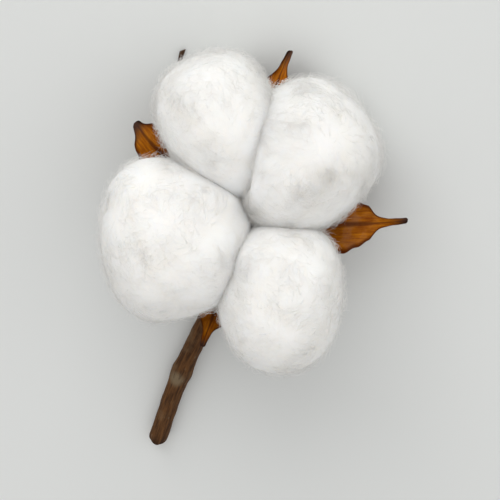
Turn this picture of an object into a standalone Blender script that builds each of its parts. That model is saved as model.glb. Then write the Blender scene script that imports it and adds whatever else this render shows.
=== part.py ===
"""One open boll of upland cotton, picked with a stub of its stem and lying on a table.

Four locks of lint stand out of a burr of four woody valves. Under the burr sit the calyx, the dry
remnants of three bracts, and the stem, which turns off sideways and lies along the table.

Lengths are in metres and angles in degrees. Most shapes are worked out in the boll's own frame: its
origin is the middle of the burr's floor, +Z runs out of the open face, and the valves spread round it.
That frame leans towards +Y in the part's frame, whose +Z is up and whose Z = 0 is the table.
"""

from collections import namedtuple
from math import cos, pi, radians, sin, tan

import bmesh
import bpy
import numpy as np
from mathutils import Matrix, Vector

# How the boll lies
LEAN = 25.0
BASE = Vector((-0.0004, 0.0102, 0.0087))
TOUCH_GAP = 0.0003
REST_GAP = 0.0011
MERGE_DISTANCE = 1e-6
SHARP_ANGLE = 50.0

# Burr: a cup of four valves, joined at its floor and split apart further out
Valve = namedtuple("Valve", "name azimuth reach shoulder sway roll seam")
VALVES = (
    Valve("right", 20.0, 0.0313, 0.0240, 1.6, 0.0006, -0.0009),
    Valve("top", 101.5, 0.0353, 0.0292, -4.4, -0.0007, 0.0),
    Valve("left", 163.5, 0.0304, 0.0278, -4.6, 0.0010, -0.0025),
    Valve("bottom", 268.5, 0.0262, 0.0205, 0.5, -0.0004, 0.0),
)
VALVE_RISE = 0.0110
VALVE_SPAN = 0.0340
VALVE_HALF_WIDTH = 0.0076
VALVE_BROADEST = 0.0110
SHOULDER_TAPER = 0.0042
SPINE_HALF_WIDTH = 0.00075
POINT_HALF_WIDTH = 0.00058
SHOULDER_FALL = 0.0011
LEAST_ANGLE = 0.1
BOAT_DEPTH = 0.0024
BOAT_MIDDLE = 0.0140
BOAT_REACH = 0.0090
EASE_IN = 0.0060
WALL = 0.0011
POINT_WALL = 0.0008
SEPTUM_HEIGHT = 0.0062
SEPTUM_REACH = 0.0190
SEPTUM_HALF = 0.00045
SEPTUM_CREST_HALF = 0.00034
SEPTUM_FOOT_SHARE = 0.5
SEPTUM_CREST_SHARE = 0.4
JOINED_REACH = 0.0130
JOINED_ROWS = 7
INNERMOST_ROW = 0.0013
BLADE_ROWS = 5
SPINE_ROWS = 3
FALL_ROWS = (0.6, 1.4, 2.6)
SIDE_COLUMNS = 4

# Lint: four locks, each an egg drawn in towards the boll's middle and pressed by its neighbours and the table.
# Above the septum a seam may lie off its valve's midline, by the valve's seam.
Lock = namedtuple("Lock", "name azimuth distance outer_half inner_half side_half long_azimuth height half_height")
LOCKS = (
    Lock("upper_right", 72.2, 0.0176, 0.0146, 0.0192, 0.0143, 57.5, 0.0132, 0.0195),
    Lock("upper_left", 127.3, 0.0227, 0.0122, 0.0192, 0.0119, 136.0, 0.0133, 0.0197),
    Lock("lower_left", 210.0, 0.0183, 0.0114, 0.0196, 0.0162, 204.3, 0.0172, 0.0148),
    Lock("lower_right", 316.4, 0.0136, 0.0174, 0.0127, 0.0124, 289.2, 0.0168, 0.0146),
)
SQUARENESS = 2.3
SEAM_AT_SEPTUM = 0.00090
SEAM_ABOVE = 0.00025
SEAM_START = -0.05
SEAM_EASE = 0.35
PRESS_POWER = 24
TUFTS = 11
TUFT_DEPTH = 0.048
CREASE_WIDTH = 0.34
TUFT_SCATTER = 0.16
LINT_SEED = 41
ICO_LEVEL = 4
RIM_MARGIN = 0.0020
RIM_SLOPE = 1.15
RIM_ROUNDING = 0.0035

# Where a lock hangs over the rim its lower corner is rounded: by how much, how far in, and up to what height.
BELLY_LIFT = 0.0012
BELLY_RUN = 0.0010
BELLY_HEIGHT = 0.0080

# Calyx: a five-lobed papery cup under the burr
CALYX_INNER = 0.0031
CALYX_OUTER = 0.0083
CALYX_LOBES = 5
CALYX_LOBE_DEPTH = 0.0011
CALYX_UNEVEN = 0.3
CALYX_WALL = 0.0007
CALYX_FLARE = 0.0009
CALYX_COLUMNS = 40
CALYX_ROWS = 4

# Bracts: the torn blade of one with its long tooth, and the stubs of two
Bract = namedtuple("Bract", "azimuth tip_azimuth reach tip_height half_width")
BRACTS = (
    Bract(152.0, 131.6, 0.0373, 0.00445, 0.0024),
    Bract(38.0, 33.0, 0.0105, -0.0012, 0.0021),
    Bract(234.0, 229.0, 0.0090, -0.0006, 0.0018),
)
BRACT_ROOT = 0.0030
BRACT_TOP = -0.0017
BRACT_SAG_SHARE = 0.059
BRACT_WALL = 0.0007
BRACT_TOOTH_HALF_WIDTH = 0.00045
BRACT_BLADE_SHARE = 0.42
BRACT_TEAR = 0.16
BRACT_FOLD = 0.15
BRACT_ROWS = 22

# Stem: the swollen receptacle, the bend, and a straight run along the table to the slanting cut
STEM_RADIUS = 0.0019
RECEPTACLE_RADIUS = 0.0028
RECEPTACLE_LENGTH = 0.0030
SWELL_LENGTH = 0.0045
STEM_TOP = 0.0009
NECK_LENGTH = 0.0028
NECK_STEP = Vector((0, -0.0018, 0))
STEM_BEND = Vector((-0.0012, -0.0077, 0.0021))
STEM_NODE = Vector((-0.0031, -0.0297, 0.0021))
STEM_END = Vector((-0.0030, -0.0457, 0.00178))
NODE_SWELL = 0.00035
NODE_SPREAD = 0.0022
CUT_SLANT = 35.0
STEM_SIDES = 16
STEM_STEPS = 12

COLOURS = {
    "lint": ((0.90, 0.89, 0.87), 0.95),
    "burr": ((0.20, 0.075, 0.018), 0.45),
    "calyx": ((0.17, 0.085, 0.03), 0.7),
    "bark": ((0.075, 0.04, 0.02), 0.75),
}


def boll_to_part():
    """The matrix that carries the boll's own frame into the part's."""
    return Matrix.Translation(BASE) @ Matrix.Rotation(radians(-LEAN), 4, "X")


def smoothstep(t):
    t = np.clip(t, 0.0, 1.0)
    return t * t * (3 - 2 * t)


def turned(degrees):
    """The same angle, between -180 and 180."""
    return (np.asarray(degrees) + 180.0) % 360.0 - 180.0


def half_sector(index, side):
    """Half the angle from a valve to its neighbour: side is 1 for the next one round, -1 for the last."""
    here = VALVES[index].azimuth
    there = VALVES[(index + side) % len(VALVES)].azimuth
    return abs(((there - here) * side) % 360.0) / 2


def half_width(radius, valve):
    """Half the width of a valve: broad at first, narrowing to its shoulder, then falling to the spine's."""
    run = valve.shoulder + SHOULDER_TAPER - VALVE_BROADEST
    broad = VALVE_HALF_WIDTH * (1 - (np.clip(radius - VALVE_BROADEST, 0, None) / run) ** 2)
    at_shoulder = VALVE_HALF_WIDTH * (1 - ((valve.shoulder - VALVE_BROADEST) / run) ** 2)
    past = np.clip(radius - valve.shoulder, 0, None)
    along_spine = past / (valve.reach - valve.shoulder)
    spine = SPINE_HALF_WIDTH + (POINT_HALF_WIDTH - SPINE_HALF_WIDTH) * along_spine
    fallen = spine + (at_shoulder - spine) * np.exp(-past / SHOULDER_FALL)
    return np.where(radius < valve.shoulder, broad, fallen)


def half_angle(radius, index, side):
    """Half the angle a valve takes up to one side at a radius. At the floor it meets its neighbour."""
    share = np.clip(half_width(radius, VALVES[index]) / radius, 0, 1)
    return np.clip(np.degrees(np.arcsin(share)), LEAST_ANGLE, half_sector(index, side))


def past_joint(radius, valve):
    """Share of a valve's free length within a radius: 0 where it parts from its neighbours, 1 at its point."""
    return np.clip((radius - JOINED_REACH) / (valve.reach - JOINED_REACH), 0, 1)


def sway(radius, valve):
    """How far a valve's midline has turned off its azimuth."""
    return valve.sway * past_joint(radius, valve) ** 2


def burr_middle(radius, across, valve):
    """Height of the middle of the burr's wall; across runs from -1 to 1 over the valve's width."""
    floor = VALVE_RISE * smoothstep(radius / VALVE_SPAN)
    boat = BOAT_DEPTH * np.exp(-(((radius - BOAT_MIDDLE) / BOAT_REACH) ** 2)) * smoothstep(radius / EASE_IN)
    free = smoothstep((radius - JOINED_REACH) / EASE_IN)
    return floor + boat * across**2 + valve.roll * across * free


def burr_wall(radius, valve):
    """Thickness of the burr, which thins towards the valve's point."""
    return WALL + (POINT_WALL - WALL) * past_joint(radius, valve)


def septum_height(radius):
    """Height of the thin wall along a valve's midline, which parts one lock from the next."""
    return SEPTUM_HEIGHT * np.sqrt(np.clip(1 - (radius / SEPTUM_REACH) ** 2, 0, None))


def over_burr(x, y):
    """For points over the floor: the burr's middle height and wall, and how far each lies outside its rim."""
    radius = np.maximum(np.hypot(x, y), 1e-6)
    azimuth = np.degrees(np.arctan2(y, x))
    height = np.zeros_like(radius)
    wall = np.full_like(radius, WALL)
    outside = np.full_like(radius, np.inf)
    for index, valve in enumerate(VALVES):
        offset = turned(azimuth - valve.azimuth - sway(radius, valve))
        reach = np.where(offset > 0, half_angle(radius, index, 1), half_angle(radius, index, -1))
        across = np.clip(offset / reach, -1, 1)
        beside = radius * np.radians(np.clip(np.abs(offset) - reach, 0, None))
        away = np.hypot(beside, np.clip(radius - valve.reach, 0, None))
        nearer = away < outside
        outside = np.where(nearer, away, outside)
        height = np.where(nearer, burr_middle(radius, across, valve), height)
        wall = np.where(nearer, burr_wall(radius, valve), wall)
    return height, wall, outside


def valve_rows(valve):
    """Radii of a valve's rows, closest together round its shoulder."""
    joined = np.linspace(INNERMOST_ROW, JOINED_REACH, JOINED_ROWS)
    blade = np.linspace(JOINED_REACH, valve.shoulder, BLADE_ROWS + 1)[1:]
    step = min(SHOULDER_FALL, (valve.reach - valve.shoulder) / (len(FALL_ROWS) + 1))
    fall = valve.shoulder + step * np.array(FALL_ROWS)
    spine = np.linspace(fall[-1], valve.reach, SPINE_ROWS + 1)[1:]
    return np.concatenate([joined, blade, fall, spine])


def valve_angles(radius, index):
    """Angles of one row's points off the midline: edge, blade, the septum's foot and crest, and back out."""
    foot, crest = (np.degrees(np.arcsin(half / radius)) for half in (SEPTUM_HALF, SEPTUM_CREST_HALF))
    reach = (half_angle(radius, index, -1), half_angle(radius, index, 1))
    foot = min(foot, min(reach) * SEPTUM_FOOT_SHARE)
    crest = min(crest, min(reach) * SEPTUM_CREST_SHARE)
    steps = np.linspace(0, 1, SIDE_COLUMNS)
    before = -(foot + (reach[0] - foot) * steps[::-1])
    after = foot + (reach[1] - foot) * steps
    return np.concatenate([before, [-crest, crest], after])


def add_object(name, points, faces, material, matrix):
    """Makes one smooth-shaded object from points and faces, doubles merged and faces pointing out."""
    mesh = bpy.data.meshes.new(name)
    build = bmesh.new()
    corners = [build.verts.new(matrix @ Vector(point)) for point in points]
    for face in faces:
        build.faces.new([corners[index] for index in face])
    bmesh.ops.remove_doubles(build, verts=build.verts, dist=MERGE_DISTANCE)
    bmesh.ops.recalc_face_normals(build, faces=build.faces)
    build.to_mesh(mesh)
    build.free()
    mesh.shade_smooth()
    mesh.set_sharp_from_angle(angle=radians(SHARP_ANGLE))
    mesh.materials.append(material)
    made = bpy.data.objects.new(name, mesh)
    bpy.context.scene.collection.objects.link(made)
    return made


def grid_faces(rows, columns, start=0, around=False):
    """Quads of a grid of points stored row by row; around joins its last column to its first."""
    faces = []
    for row in range(rows - 1):
        for column in range(columns if around else columns - 1):
            here = start + row * columns
            beside = (column + 1) % columns
            faces.append((here + column, here + beside, here + columns + beside, here + columns + column))
    return faces


def make_material(name):
    colour, roughness = COLOURS[name]
    material = bpy.data.materials.new(name)
    material.use_nodes = True
    shader = material.node_tree.nodes["Principled BSDF"]
    shader.inputs["Base Color"].default_value = (*colour, 1)
    shader.inputs["Roughness"].default_value = roughness
    return material


def make_burr(material):
    """The burr: an upper and a lower skin over the same rows and columns, closed at the valves' edges."""
    points = [(0, 0, WALL / 2), (0, 0, -WALL / 2)]
    faces = []
    for index, valve in enumerate(VALVES):
        rows = valve_rows(valve)
        columns = 2 * SIDE_COLUMNS + 2
        skins = []
        for up in (1, -1):
            skins.append(len(points))
            for radius in rows:
                angles = valve_angles(radius, index)
                reach = np.where(angles > 0, half_angle(radius, index, 1), half_angle(radius, index, -1))
                heights = burr_middle(radius, angles / reach, valve) + up * burr_wall(radius, valve) / 2
                if up == 1:
                    heights[SIDE_COLUMNS : SIDE_COLUMNS + 2] += septum_height(radius)
                bearings = np.radians(valve.azimuth + sway(radius, valve) + angles)
                points += zip(radius * np.cos(bearings), radius * np.sin(bearings), heights)
            faces += grid_faces(len(rows), columns, skins[-1])
            ring = range(skins[-1], skins[-1] + columns)
            faces += [(len(skins) - 1, a, b) for a, b in zip(ring, ring[1:])]
        top, under = skins
        last = (len(rows) - 1) * columns
        for column in range(columns - 1):
            a = last + column
            faces.append((top + a, top + a + 1, under + a + 1, under + a))
        for side, column in ((-1, 0), (1, columns - 1)):
            joined = sum(half_angle(radius, index, side) >= half_sector(index, side) for radius in rows)
            for row in range(joined - 1, len(rows) - 1):
                a, b = row * columns + column, (row + 1) * columns + column
                faces.append((top + a, top + b, under + b, under + a))
    return add_object("burr", points, faces, material, boll_to_part())


def tuft_directions(index):
    """Directions of a lock's tufts, one for each seed: an even spiral, each turned a little."""
    draw = np.random.default_rng(LINT_SEED + index)
    turn = (np.arange(TUFTS) + draw.uniform(0, 1)) * pi * (3 - 5**0.5)
    up = 1 - (2 * np.arange(TUFTS) + 1) / TUFTS
    flat = np.sqrt(1 - up**2)
    spread = np.stack([flat * np.cos(turn), flat * np.sin(turn), up], axis=1)
    spread += draw.normal(0, TUFT_SCATTER, spread.shape)
    return spread / np.linalg.norm(spread, axis=1, keepdims=True)


def tuft_swell(directions, index):
    """How far the lint stands out along each direction: full on every tuft and creased between them."""
    angles = np.sort(np.arccos(np.clip(directions @ tuft_directions(index).T, -1, 1)), axis=1)
    from_crease = angles[:, 1] - angles[:, 0]
    return 1 - TUFT_DEPTH * np.exp(-from_crease / CREASE_WIDTH)


def lock_radius(directions, index):
    """Distance from the lock's middle to its surface: an egg pressed flat by its two valves' planes."""
    lock = LOCKS[index]
    bearing, long_bearing = radians(lock.azimuth), radians(lock.long_azimuth)
    along = directions @ (cos(long_bearing), sin(long_bearing), 0)
    beside = directions @ (-sin(long_bearing), cos(long_bearing), 0)
    long_part = along / np.where(along > 0, lock.outer_half, lock.inner_half)
    parts = (long_part, beside / lock.side_half, directions[:, 2] / lock.half_height)
    egg = sum(abs(part) ** SQUARENESS for part in parts) ** (-1 / SQUARENESS)
    inverse = (egg * tuft_swell(directions, index)) ** -PRESS_POWER
    low = smoothstep((SEAM_START - directions[:, 2]) / SEAM_EASE)
    seam = SEAM_ABOVE + (SEAM_AT_SEPTUM - SEAM_ABOVE) * low
    for valve, side in ((VALVES[index], -1), (VALVES[(index + 1) % len(VALVES)], 1)):
        plane = radians(valve.azimuth)
        normal = side * np.array((-sin(plane), cos(plane), 0))
        apart = abs(lock.distance * sin(bearing - plane)) + side * valve.seam * (1 - low)
        inverse += (np.clip(directions @ normal, 0, None) / (apart - seam)) ** PRESS_POWER
    return inverse ** (-1 / PRESS_POWER)


def lock_points(directions, index):
    """Points of a lock's surface in the part's frame. What would lie in a valve is lifted onto it."""
    lock = LOCKS[index]
    bearing = radians(lock.azimuth)
    middle = np.array((lock.distance * cos(bearing), lock.distance * sin(bearing), lock.height))
    points = middle + directions * lock_radius(directions, index)[:, None]
    height, wall, outside = over_burr(points[:, 0], points[:, 1])
    bearing_height = height + wall / 2 + REST_GAP - RIM_SLOPE * np.clip(outside - RIM_MARGIN, 0, None)
    over = points[:, 2] - bearing_height
    near = np.clip(1 - np.abs(over) / RIM_ROUNDING, 0, None)
    points[:, 2] = np.maximum(points[:, 2], bearing_height) + near**2 * RIM_ROUNDING / 4
    carry = np.array(boll_to_part())
    points = points @ carry[:3, :3].T + carry[:3, 3]
    hanging = np.clip(1 - over / BELLY_RUN, 0, 1) ** 2
    low = np.clip(1 - points[:, 2] / BELLY_HEIGHT, 0, 1) ** 2
    points[:, 2] = np.clip(points[:, 2], 0, None) + BELLY_LIFT * hanging * low
    return points


def make_lock(index, material):
    """One lock of lint, from an icosphere whose points are moved out to the lock's surface."""
    sphere = bmesh.new()
    bmesh.ops.create_icosphere(sphere, subdivisions=ICO_LEVEL, radius=1)
    directions = np.array([vert.co.normalized() for vert in sphere.verts])
    faces = [tuple(vert.index for vert in face.verts) for face in sphere.faces]
    sphere.free()
    name = "lock_" + LOCKS[index].name
    return add_object(name, lock_points(directions, index), faces, material, Matrix.Identity(4))


def make_calyx(material):
    """The calyx: a thin ring under the burr, with a margin of five low lobes that stand a little away."""
    azimuths = np.linspace(0, 2 * pi, CALYX_COLUMNS, endpoint=False)
    uneven = 1 + CALYX_UNEVEN * np.cos(2 * azimuths + 1)
    margin = CALYX_OUTER + CALYX_LOBE_DEPTH * np.cos(CALYX_LOBES * azimuths) * uneven
    points = []
    for skin in (0, CALYX_WALL):
        for share in np.linspace(0, 1, CALYX_ROWS):
            radius = CALYX_INNER + (margin - CALYX_INNER) * share
            x, y = radius * np.cos(azimuths), radius * np.sin(azimuths)
            height, wall, _ = over_burr(x, y)
            points += zip(x, y, height - wall / 2 - TOUCH_GAP - CALYX_FLARE * share**2 - skin)
    under = CALYX_ROWS * CALYX_COLUMNS
    faces = grid_faces(CALYX_ROWS, CALYX_COLUMNS, 0, around=True)
    faces += grid_faces(CALYX_ROWS, CALYX_COLUMNS, under, around=True)
    for row in (0, (CALYX_ROWS - 1) * CALYX_COLUMNS):
        for column in range(CALYX_COLUMNS):
            a, b = row + column, row + (column + 1) % CALYX_COLUMNS
            faces.append((a, b, under + b, under + a))
    return add_object("calyx", points, faces, material, boll_to_part())


def make_bract(number, bract, material):
    """One dry bract, a thin strip from under the calyx: a torn blade, then the tooth left of it."""
    shares = np.linspace(0, 1, BRACT_ROWS)
    radius = BRACT_ROOT + (bract.reach - BRACT_ROOT) * shares
    azimuth = np.radians(bract.azimuth + (bract.tip_azimuth - bract.azimuth) * shares**2)
    height = BRACT_TOP + (bract.tip_height - BRACT_TOP) * shares**2
    height -= BRACT_SAG_SHARE * bract.reach * np.sin(pi * shares)
    blade = np.clip(1 - shares / BRACT_BLADE_SHARE, 0, 1) ** 0.5
    torn = 1 + BRACT_TEAR * np.sin(23 * shares) * np.cos(9 * shares)
    half = BRACT_TOOTH_HALF_WIDTH + (bract.half_width - BRACT_TOOTH_HALF_WIDTH) * blade * torn
    points = []
    for skin in (0, BRACT_WALL):
        for side in (-1, 0, 1):
            x = radius * np.cos(azimuth) - side * half * np.sin(azimuth)
            y = radius * np.sin(azimuth) + side * half * np.cos(azimuth)
            points += zip(x, y, height - BRACT_FOLD * half * side**2 - skin)
    faces = grid_faces(3, BRACT_ROWS, 0) + grid_faces(3, BRACT_ROWS, 3 * BRACT_ROWS)
    lines = [row * BRACT_ROWS for row in range(6)]
    for start in (0, 2):
        for column in range(BRACT_ROWS - 1):
            a = lines[start] + column
            b = lines[start + 3] + column
            faces.append((a, a + 1, b + 1, b))
    for column in (0, BRACT_ROWS - 1):
        for row in range(2):
            faces.append(tuple(lines[line] + column for line in (row, row + 1, row + 4, row + 3)))
    return add_object(f"bract_{number}", points, faces, material, boll_to_part())


def smooth_path(knots, steps):
    """Points along one smooth curve through the knots, by Catmull-Rom."""
    ends = [2 * knots[0] - knots[1], *knots, 2 * knots[-1] - knots[-2]]
    path = []
    for a, b, c, d in zip(ends, ends[1:], ends[2:], ends[3:]):
        square = 2 * a - 5 * b + 4 * c - d
        cube = 3 * b - a - 3 * c + d
        for t in np.arange(steps) / steps:
            path.append(0.5 * (2 * b + (c - a) * t + square * t**2 + cube * t**3))
    return [*path, knots[-1]]


def make_stem(material):
    """The stem, swept along its path with its swollen top and node, flat where it touches the table."""
    axis = Vector((0, sin(radians(LEAN)), cos(radians(LEAN))))
    top = BASE - STEM_TOP * axis
    neck = BASE - (STEM_TOP + RECEPTACLE_LENGTH) * axis
    elbow = neck - NECK_LENGTH * axis + NECK_STEP
    path = smooth_path([top, neck, elbow, STEM_BEND, STEM_NODE, STEM_END], STEM_STEPS)
    run = np.cumsum([0, *((b - a).length for a, b in zip(path, path[1:]))])
    points = []
    for number, (here, gone) in enumerate(zip(path, run)):
        before = path[max(number - 1, 0)]
        after = path[min(number + 1, len(path) - 1)]
        forward = (after - before).normalized() if number else -axis
        side = forward.cross(Vector((0, 0, 1))).normalized()
        up = side.cross(forward)
        swollen = (RECEPTACLE_RADIUS - STEM_RADIUS) * (1 - smoothstep(gone / SWELL_LENGTH))
        node = NODE_SWELL * np.exp(-(((here - STEM_NODE).length / NODE_SPREAD) ** 2))
        radius = STEM_RADIUS + float(swollen + node)
        last = number == len(path) - 1
        for corner in range(STEM_SIDES):
            turn = 2 * pi * corner / STEM_SIDES
            out = radius * (cos(turn) * side + sin(turn) * up)
            if last:
                out += forward * radius * sin(turn) * tan(radians(CUT_SLANT))
            point = here + out
            points.append((point.x, point.y, max(point.z, 0)))
    rings = len(path)
    faces = grid_faces(rings, STEM_SIDES, 0, around=True)
    faces.append(tuple(range(STEM_SIDES)))
    faces.append(tuple(range((rings - 1) * STEM_SIDES, rings * STEM_SIDES)))
    return add_object("stem", points, faces, material, Matrix.Identity(4))


def build():
    """Clears the scene and makes the boll's pieces."""
    for old in list(bpy.data.objects):
        bpy.data.objects.remove(old)
    materials = {name: make_material(name) for name in COLOURS}
    make_burr(materials["burr"])
    for index in range(len(LOCKS)):
        make_lock(index, materials["lint"])
    make_calyx(materials["calyx"])
    for number, bract in enumerate(BRACTS, 1):
        make_bract(number, bract, materials["calyx"])
    make_stem(materials["bark"])


build()
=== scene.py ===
"""The looks of one open cotton boll, made round its solids. Metres, +Z up, and the table at Z = 0.

Most shapes are worked out in the boll's own frame: its origin is the middle of the burr's floor, +Z runs
out of the open face, and angles round it are counted from +X. That frame leans towards the part's +Y.
"""

from collections import namedtuple
from math import cos, pi, radians, sin, tan

import bpy
import numpy as np
from mathutils import Matrix, Vector


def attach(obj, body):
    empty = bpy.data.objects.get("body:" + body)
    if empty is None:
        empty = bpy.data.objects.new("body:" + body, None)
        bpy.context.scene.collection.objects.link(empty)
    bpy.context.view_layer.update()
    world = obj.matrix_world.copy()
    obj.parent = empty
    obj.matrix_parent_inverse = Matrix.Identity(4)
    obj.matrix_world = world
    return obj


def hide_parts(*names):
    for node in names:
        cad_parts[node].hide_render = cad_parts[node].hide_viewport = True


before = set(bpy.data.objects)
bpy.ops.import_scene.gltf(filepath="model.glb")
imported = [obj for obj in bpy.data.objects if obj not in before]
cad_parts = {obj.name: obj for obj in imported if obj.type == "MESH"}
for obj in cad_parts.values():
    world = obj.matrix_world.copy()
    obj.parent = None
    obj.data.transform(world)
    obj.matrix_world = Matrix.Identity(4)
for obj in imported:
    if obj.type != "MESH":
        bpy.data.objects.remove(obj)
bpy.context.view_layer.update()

# Burr
# The dry capsule that held the lint: four woody valves, grown together at the floor, split apart further out
# and drawn into points. A thin wall stands up the middle of each, where one lock was parted from the next.

LEAN = 25.0
BASE = np.array((-0.0004, 0.0102, 0.0087))
Valve = namedtuple("Valve", "azimuth reach shoulder sway roll seam")
VALVES = (
    Valve(20.0, 0.0313, 0.0240, 1.6, 0.0006, -0.0009),
    Valve(101.5, 0.0353, 0.0292, -4.4, -0.0007, 0.0),
    Valve(163.5, 0.0304, 0.0278, -4.6, 0.0010, -0.0025),
    Valve(268.5, 0.0262, 0.0205, 0.5, -0.0004, 0.0),
)
VALVE_RISE, VALVE_SPAN = 0.0110, 0.0340
VALVE_HALF_WIDTH, VALVE_BROADEST, SHOULDER_TAPER = 0.0076, 0.0110, 0.0042
SPINE_HALF_WIDTH, POINT_HALF_WIDTH, SHOULDER_FALL = 0.00075, 0.00058, 0.0011
BOAT_DEPTH, BOAT_MIDDLE, BOAT_REACH = 0.0024, 0.0140, 0.0090
EASE_IN, JOINED_REACH, LEAST_ANGLE = 0.0060, 0.0130, 0.1
WALL, POINT_WALL, EDGE_THINNING = 0.0011, 0.0008, 0.35
SEPTUM_HEIGHT, SEPTUM_REACH, SEPTUM_HALF = 0.0062, 0.0190, 0.00036
EDGE_WAVE, EDGE_WAVE_LENGTH, EDGE_WAVE_TURN, EDGE_WAVE_PHASES = 0.035, 0.0024, 2.1, (0.0, 1.7)
POINT_ROUNDING, POINT_ROUNDED_OFF = 0.0006, 0.95
CURL, CURL_START = 0.0012, 0.72
JOINED_ROWS, FREE_ROWS, INNERMOST_ROW = 26, 84, 0.0006
MIDLINE_STEPS = np.array((0.0, 0.10, 0.19, 0.27, 0.34, 0.42, 0.55))
MIDLINE_HALF_WIDTH, MIDLINE_MOST = 0.00072, 0.5
BLADE_COLUMNS = 18
SKIN_STEP, VALVE_STEP = 0.01, 0.03


def smoothstep(t):
    """3t^2 - 2t^3 between 0 and 1."""
    t = np.clip(t, 0.0, 1.0)
    return t * t * (3 - 2 * t)


def carried(points):
    """Points of the boll's own frame in the part's: turned about X by the lean, then moved to the base."""
    lean = radians(LEAN)
    turn = np.array(((1, 0, 0), (0, cos(lean), sin(lean)), (0, -sin(lean), cos(lean))))
    return points @ turn.T + BASE


def unit(vectors):
    """Each vector over its own length."""
    return vectors / np.maximum(np.linalg.norm(vectors, axis=-1, keepdims=True), 1e-12)


def ripple(points, scale, seed, waves=14):
    """Smooth noise between about -1 and 1: a sum of sine waves that run in random directions."""
    draw = np.random.default_rng(seed)
    ways = unit(draw.normal(0, 1, (waves, 3))) * draw.uniform(0.6, 1.5, (waves, 1)) * 2 * pi / scale
    return np.sin(points @ ways.T + draw.uniform(0, 2 * pi, waves)).sum(axis=-1) / waves**0.5


def grid_faces(rows, columns, around=False, ring=False):
    """Quads over a grid of points, row by row. around joins its last column to its first, ring its rows."""
    row = np.arange(rows if ring else rows - 1)[:, None]
    column = np.arange(columns if around else columns - 1)[None, :]
    far_row = (row + 1) % rows * columns
    far_column = (column + 1) % columns
    near_row = row * columns
    corners = (near_row + column, near_row + far_column, far_row + far_column, far_row + column)
    return np.stack(corners, axis=-1).reshape(-1, 4)


def end_fans(rows, columns):
    """Triangles that close a tube of rows round two more points, which follow the grid's own."""
    column = np.arange(columns)
    beyond = (column + 1) % columns
    last = (rows - 1) * columns
    first_fan = np.stack([np.full(columns, rows * columns), beyond, column], axis=-1)
    last_fan = np.stack([np.full(columns, rows * columns + 1), last + column, last + beyond], axis=-1)
    return np.concatenate([first_fan, last_fan])


def add_piece(name, points, faces, finish, slot, *nodes, **kept):
    """One smooth closed piece from points and arrays of faces, with the kept values stored at its points.

    Its faces are turned over if the sum of their signed volumes is negative, so that they point outwards.
    """
    first_halves = [f[:, (0, 1, 2)] for f in faces]
    second_halves = [f[:, (0, 2, 3)] for f in faces if f.shape[1] == 4]
    triangles = np.concatenate(first_halves + second_halves)
    a, b, c = (points[triangles[:, corner]] for corner in range(3))
    outwards = np.einsum("ij,ij->", a, np.cross(b, c)) > 0
    mesh = bpy.data.meshes.new(name)
    facing = [f if outwards else f[:, ::-1] for f in faces]
    mesh.from_pydata(points.tolist(), [], [corners for f in facing for corners in f.tolist()])
    for label, values in kept.items():
        vector = values.ndim == 2
        attribute = mesh.attributes.new(label, "FLOAT_VECTOR" if vector else "FLOAT", "POINT")
        attribute.data.foreach_set("vector" if vector else "value", values.astype(np.float32).ravel())
    mesh.shade_smooth()
    mesh.materials.append(finish)
    piece = bpy.data.objects.new(name, mesh)
    bpy.context.scene.collection.objects.link(piece)
    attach(piece, "root")
    if nodes:
        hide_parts(*nodes)


def half_width(radius, valve):
    """Half a valve's width: it narrows as a parabola to the shoulder, then falls off to the spine's."""
    run = valve.shoulder + SHOULDER_TAPER - VALVE_BROADEST
    broad = VALVE_HALF_WIDTH * (1 - (np.clip(radius - VALVE_BROADEST, 0, None) / run) ** 2)
    at_shoulder = VALVE_HALF_WIDTH * (1 - ((valve.shoulder - VALVE_BROADEST) / run) ** 2)
    past = np.clip(radius - valve.shoulder, 0, None)
    spine = SPINE_HALF_WIDTH + (POINT_HALF_WIDTH - SPINE_HALF_WIDTH) * past / (valve.reach - valve.shoulder)
    beyond = spine + (at_shoulder - spine) * np.exp(-past / SHOULDER_FALL)
    return np.where(radius < valve.shoulder, broad, beyond)


def half_sector(index, side):
    """Half the angle from a valve to its neighbour: side is 1 for the next one round, -1 for the last."""
    there = VALVES[(index + side) % len(VALVES)].azimuth
    return abs(((there - VALVES[index].azimuth) * side) % 360.0) / 2


def half_angle(radius, index, side):
    """Half the angle a valve takes up to one side at a radius. At the floor it meets its neighbour."""
    share = np.clip(half_width(radius, VALVES[index]) / radius, 0, 1)
    return np.clip(np.degrees(np.arcsin(share)), LEAST_ANGLE, half_sector(index, side))


def past_joint(radius, valve):
    """Share of a valve's free length within a radius, from 0 where it parts from its neighbours to 1."""
    return np.clip((radius - JOINED_REACH) / (valve.reach - JOINED_REACH), 0, 1)


def burr_middle(radius, across, valve):
    """Height of the middle of the burr's wall; across runs from -1 to 1 over the valve's width."""
    floor = VALVE_RISE * smoothstep(radius / VALVE_SPAN)
    boat = BOAT_DEPTH * np.exp(-(((radius - BOAT_MIDDLE) / BOAT_REACH) ** 2)) * smoothstep(radius / EASE_IN)
    free = smoothstep((radius - JOINED_REACH) / EASE_IN)
    return floor + boat * across**2 + valve.roll * across * free


def burr_wall(radius, valve):
    """Thickness of the burr, which thins towards the valve's point."""
    return WALL + (POINT_WALL - WALL) * past_joint(radius, valve)


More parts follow.
